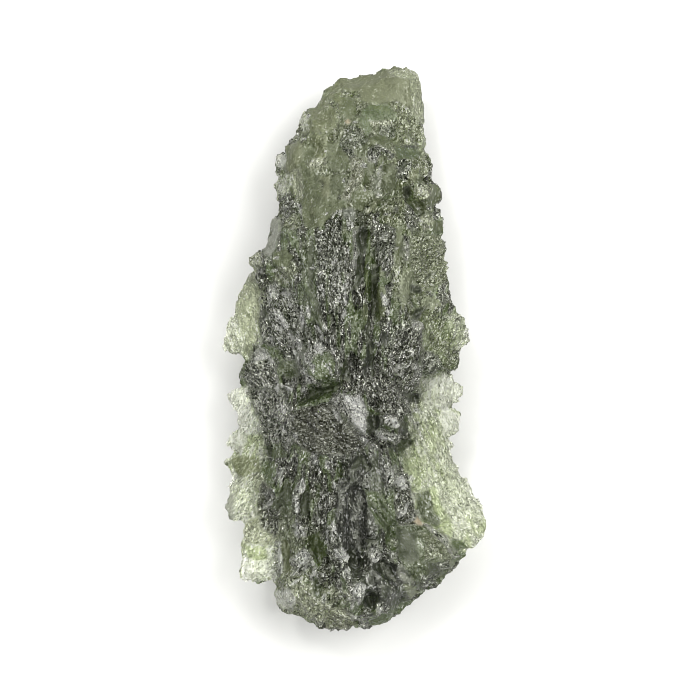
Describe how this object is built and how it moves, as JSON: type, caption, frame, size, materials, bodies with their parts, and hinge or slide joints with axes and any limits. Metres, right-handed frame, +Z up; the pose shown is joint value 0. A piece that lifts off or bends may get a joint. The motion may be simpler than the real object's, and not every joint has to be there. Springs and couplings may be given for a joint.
{
  "type": "moldavite",
  "caption": "Raw leaf-shaped moldavite of green natural glass, thick along its middle, with thin side flanges and a pitted, fluted skin, lying on a small flat spot.",
  "frame": {"origin": "centre of the bounding box at its base, on the plane of the flat spot that the stone lies on", "axes": "+Y from the broad foot to the narrow top, along the length; +X to the right as seen from above; +Z up from the rest spot"},
  "size_m": [0.0196, 0.042, 0.0101],
  "materials": {
    "green_glass": "satin, etched natural surface, see-through green where it is thin"
  },
  "bodies": {
    "root": {"moldavite": "green_glass"}
  },
  "joints": []
}
